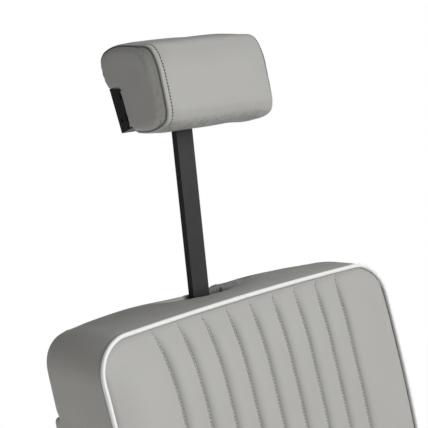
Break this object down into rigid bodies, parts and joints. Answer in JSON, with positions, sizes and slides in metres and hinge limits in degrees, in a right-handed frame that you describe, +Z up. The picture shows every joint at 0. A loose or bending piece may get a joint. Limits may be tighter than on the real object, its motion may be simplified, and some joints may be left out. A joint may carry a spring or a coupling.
{
  "type": "salon chair",
  "caption": "Threading chair with a channelled back, white piping, a sliding and tilting headrest, a reclining back, armrests and a foot-pumped round base.",
  "frame": {"origin": "middle of the round base's underside, on the floor", "axes": "+Z up, the chair faces -Y, X = 0 is its plane of symmetry; left and right in node names are those of a viewer who stands in front of it, so left is -X"},
  "size_m": [0.695, 0.9806, 1.3388],
  "materials": {
    "grey_vinyl": "satin",
    "white_piping": "satin",
    "black_steel": "satin",
    "chrome": "polished",
    "black_rubber": "matte",
    "plywood": "matte",
    "zinc_steel": "satin",
    "nylon": "matte"
  },
  "bodies": {
    "base": {"base_plate": "zinc_steel", "base_trim_ring": "black_rubber", "base_cover": "chrome", "pump_cylinder": "zinc_steel", "pump_bolts": "zinc_steel", "pump_collar": "nylon", "pump_shroud": "chrome", "pedal_bracket": "black_steel", "pedal_pin": "zinc_steel"},
    "pedal": {"pedal_lever": "black_steel", "pedal_pad": "black_rubber"},
    "lift": {"piston_rod": "chrome", "swivel_bearing": "zinc_steel"},
    "seat": {"swivel_plate": "black_steel", "swivel_bolts": "zinc_steel", "side_rail_left": "black_steel", "side_rail_right": "black_steel", "front_cross_rail": "black_steel", "rear_cross_rail": "black_steel", "seat_board": "plywood", "seat_screws": "zinc_steel", "seat_cushion": "grey_vinyl", "seat_piping": "white_piping", "arm_frame_left": "black_steel", "arm_frame_right": "black_steel", "arm_pad_left": "grey_vinyl", "arm_pad_right": "grey_vinyl", "footrest_stem": "black_steel", "footrest_bar": "chrome", "footrest_sleeves": "black_rubber", "footrest_bolts": "zinc_steel", "hinge_bracket_left": "black_steel", "hinge_bracket_right": "black_steel", "hinge_bolts": "zinc_steel", "strut_cylinder": "black_steel", "strut_clamp": "black_steel"},
    "strut_plunger": {"strut_rod": "chrome", "strut_fork": "zinc_steel", "strut_pin": "zinc_steel"},
    "release": {"release_lever": "black_steel", "release_grip": "black_rubber"},
    "back": {"back_arm_left": "black_steel", "back_arm_right": "black_steel", "torque_tube": "black_steel", "recline_lever": "black_steel", "back_board": "plywood", "back_screws": "zinc_steel", "back_cushion": "grey_vinyl", "back_piping": "white_piping", "back_panel": "grey_vinyl", "headrest_guide": "zinc_steel", "guide_bushes": "nylon", "friction_spring": "zinc_steel"},
    "bar": {"headrest_bar": "black_steel", "bar_stop": "zinc_steel"},
    "headrest": {"headrest_pan": "black_steel", "headrest_board": "plywood", "headrest_screws": "black_steel", "headrest_pad": "grey_vinyl", "tilt_bolt": "zinc_steel"}
  },
  "joints": [
    {"name": "pump_pedal", "type": "hinge", "parent": "base", "child": "pedal", "pos_m": [0, 0.051, 0.08], "axis": [-1, 0, 0], "range_deg": [0, 14], "stiffness_Nm_per_rad": 12, "springref_deg": -20.05},
    {"name": "pump_lift", "type": "slide", "parent": "base", "child": "lift", "axis": [0, 0, 1], "range_m": [0, 0.15]},
    {"name": "seat_swivel", "type": "hinge", "parent": "lift", "child": "seat", "pos_m": [0, 0, 0.318], "axis": [0, 0, 1], "continuous": true},
    {"name": "back_recline", "type": "hinge", "parent": "seat", "child": "back", "pos_m": [0, 0.272, 0.415], "axis": [-1, 0, 0], "range_deg": [0, 55]},
    {"name": "strut_stroke", "type": "slide", "parent": "seat", "child": "strut_plunger", "axis": [0, -1, 0], "range_m": [0, 0.068]},
    {"name": "recline_release", "type": "hinge", "parent": "seat", "child": "release", "pos_m": [0, 0.099, 0.35], "axis": [-1, 0, 0], "range_deg": [0, 20], "stiffness_Nm_per_rad": 0.6, "springref_deg": -28.65},
    {"name": "headrest_slide", "type": "slide", "parent": "back", "child": "bar", "axis": [0, 0.1452, 0.9894], "range_m": [-0.15, 0.025]},
    {"name": "headrest_tilt", "type": "hinge", "parent": "bar", "child": "headrest", "pos_m": [0, 0.47632, 1.23426], "axis": [-1, 0, 0], "range_deg": [-20, 20]}
  ],
  "couplings": [
    {"joint": "strut_stroke", "follows": "back_recline", "m_per_rad": 0.0705}
  ]
}
